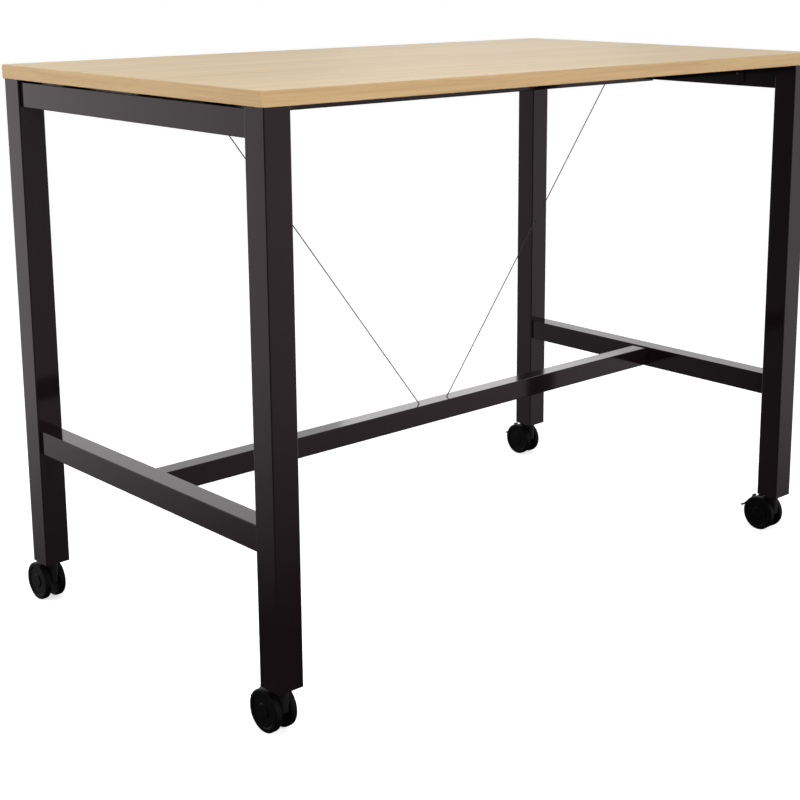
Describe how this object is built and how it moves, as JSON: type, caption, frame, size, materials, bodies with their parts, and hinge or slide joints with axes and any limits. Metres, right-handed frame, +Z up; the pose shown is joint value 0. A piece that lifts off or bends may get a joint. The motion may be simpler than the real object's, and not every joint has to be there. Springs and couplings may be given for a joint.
{
  "type": "high table",
  "caption": "High table: rectangular oak board on a square-tube frame with a central foot stretcher, V brace wires and braked twin-wheel swivel castors.",
  "frame": {"origin": "on the floor, at the bottom centre of the whole object's box; the rear castors trail out past the tabletop, so the table's own middle plane is at Y = -26.2 mm", "axes": "+X along the long side, to the right in the picture; +Y along the short side, away from the camera; +Z up"},
  "size_m": [1.4, 0.8524, 1.04],
  "materials": {
    "oak_top": "pale oak laminate, satin",
    "oak_edge": "oak edge band, satin",
    "frame_coat": "brown-black coat, half gloss",
    "steel_wire": "dull drawn",
    "plain_steel": "zinc plated",
    "black_plastic": "moulded, satin",
    "wheel_tread": "moulded, half gloss"
  },
  "bodies": {
    "frame": {"tabletop_board": "oak_top", "edge_band": "oak_edge", "leg_front_left": "frame_coat", "leg_back_left": "frame_coat", "leg_front_right": "frame_coat", "leg_back_right": "frame_coat", "top_rail_left": "frame_coat", "low_rail_left": "frame_coat", "top_rail_right": "frame_coat", "low_rail_right": "frame_coat", "foot_stretcher": "frame_coat", "top_beam": "frame_coat", "brace_wire_left": "steel_wire", "wire_anchor_low_left": "plain_steel", "wire_anchor_high_left": "plain_steel", "brace_wire_right": "steel_wire", "wire_anchor_low_right": "plain_steel", "wire_anchor_high_right": "plain_steel", "top_bracket_front_left": "frame_coat", "top_bracket_back_left": "frame_coat", "top_bracket_front_right": "frame_coat", "top_bracket_back_right": "frame_coat", "bracket_top_screws": "plain_steel", "bracket_rail_screws": "plain_steel", "caster_socket_front_left": "black_plastic", "caster_stem_front_left": "plain_steel", "caster_socket_back_left": "black_plastic", "caster_stem_back_left": "plain_steel", "caster_socket_front_right": "black_plastic", "caster_stem_front_right": "plain_steel", "caster_socket_back_right": "black_plastic", "caster_stem_back_right": "plain_steel"},
    "swivel_front_left": {"caster_fork_front_left": "black_plastic", "caster_axle_front_left": "plain_steel", "pedal_pin_front_left": "plain_steel"},
    "wheel_left_front_left": {"wheel_left_front_left": "wheel_tread"},
    "wheel_right_front_left": {"wheel_right_front_left": "wheel_tread"},
    "pedal_front_left": {"brake_pedal_front_left": "black_plastic"},
    "swivel_back_left": {"caster_fork_back_left": "black_plastic", "caster_axle_back_left": "plain_steel", "pedal_pin_back_left": "plain_steel"},
    "wheel_left_back_left": {"wheel_left_back_left": "wheel_tread"},
    "wheel_right_back_left": {"wheel_right_back_left": "wheel_tread"},
    "pedal_back_left": {"brake_pedal_back_left": "black_plastic"},
    "swivel_front_right": {"caster_fork_front_right": "black_plastic", "caster_axle_front_right": "plain_steel", "pedal_pin_front_right": "plain_steel"},
    "wheel_left_front_right": {"wheel_left_front_right": "wheel_tread"},
    "wheel_right_front_right": {"wheel_right_front_right": "wheel_tread"},
    "pedal_front_right": {"brake_pedal_front_right": "black_plastic"},
    "swivel_back_right": {"caster_fork_back_right": "black_plastic", "caster_axle_back_right": "plain_steel", "pedal_pin_back_right": "plain_steel"},
    "wheel_left_back_right": {"wheel_left_back_right": "wheel_tread"},
    "wheel_right_back_right": {"wheel_right_back_right": "wheel_tread"},
    "pedal_back_right": {"brake_pedal_back_right": "black_plastic"}
  },
  "joints": [
    {"name": "swivel_turn_front_left", "type": "hinge", "parent": "frame", "child": "swivel_front_left", "pos_m": [-0.67, -0.39622, 0.08], "axis": [0, 0, 1], "continuous": true},
    {"name": "wheel_left_spin_front_left", "type": "hinge", "parent": "swivel_front_left", "child": "wheel_left_front_left", "pos_m": [-0.67, -0.37172, 0.037], "axis": [1, 0, 0], "continuous": true},
    {"name": "wheel_right_spin_front_left", "type": "hinge", "parent": "swivel_front_left", "child": "wheel_right_front_left", "pos_m": [-0.67, -0.37172, 0.037], "axis": [1, 0, 0], "continuous": true},
    {"name": "pedal_press_front_left", "type": "hinge", "parent": "swivel_front_left", "child": "pedal_front_left", "pos_m": [-0.67, -0.35333, 0.05538], "axis": [1, 0, 0], "range_deg": [-9, 0]},
    {"name": "swivel_turn_back_left", "type": "hinge", "parent": "frame", "child": "swivel_back_left", "pos_m": [-0.67, 0.34378, 0.08], "axis": [0, 0, 1], "continuous": true},
    {"name": "wheel_left_spin_back_left", "type": "hinge", "parent": "swivel_back_left", "child": "wheel_left_back_left", "pos_m": [-0.67, 0.36828, 0.037], "axis": [1, 0, 0], "continuous": true},
    {"name": "wheel_right_spin_back_left", "type": "hinge", "parent": "swivel_back_left", "child": "wheel_right_back_left", "pos_m": [-0.67, 0.36828, 0.037], "axis": [1, 0, 0], "continuous": true},
    {"name": "pedal_press_back_left", "type": "hinge", "parent": "swivel_back_left", "child": "pedal_back_left", "pos_m": [-0.67, 0.38667, 0.05538], "axis": [1, 0, 0], "range_deg": [-9, 0]},
    {"name": "swivel_turn_front_right", "type": "hinge", "parent": "frame", "child": "swivel_front_right", "pos_m": [0.67, -0.39622, 0.08], "axis": [0, 0, 1], "continuous": true},
    {"name": "wheel_left_spin_front_right", "type": "hinge", "parent": "swivel_front_right", "child": "wheel_left_front_right", "pos_m": [0.67, -0.37172, 0.037], "axis": [1, 0, 0], "continuous": true},
    {"name": "wheel_right_spin_front_right", "type": "hinge", "parent": "swivel_front_right", "child": "wheel_right_front_right", "pos_m": [0.67, -0.37172, 0.037], "axis": [1, 0, 0], "continuous": true},
    {"name": "pedal_press_front_right", "type": "hinge", "parent": "swivel_front_right", "child": "pedal_front_right", "pos_m": [0.67, -0.35333, 0.05538], "axis": [1, 0, 0], "range_deg": [-9, 0]},
    {"name": "swivel_turn_back_right", "type": "hinge", "parent": "frame", "child": "swivel_back_right", "pos_m": [0.67, 0.34378, 0.08], "axis": [0, 0, 1], "continuous": true},
    {"name": "wheel_left_spin_back_right", "type": "hinge", "parent": "swivel_back_right", "child": "wheel_left_back_right", "pos_m": [0.67, 0.36828, 0.037], "axis": [1, 0, 0], "continuous": true},
    {"name": "wheel_right_spin_back_right", "type": "hinge", "parent": "swivel_back_right", "child": "wheel_right_back_right", "pos_m": [0.67, 0.36828, 0.037], "axis": [1, 0, 0], "continuous": true},
    {"name": "pedal_press_back_right", "type": "hinge", "parent": "swivel_back_right", "child": "pedal_back_right", "pos_m": [0.67, 0.38667, 0.05538], "axis": [1, 0, 0], "range_deg": [-9, 0]}
  ]
}
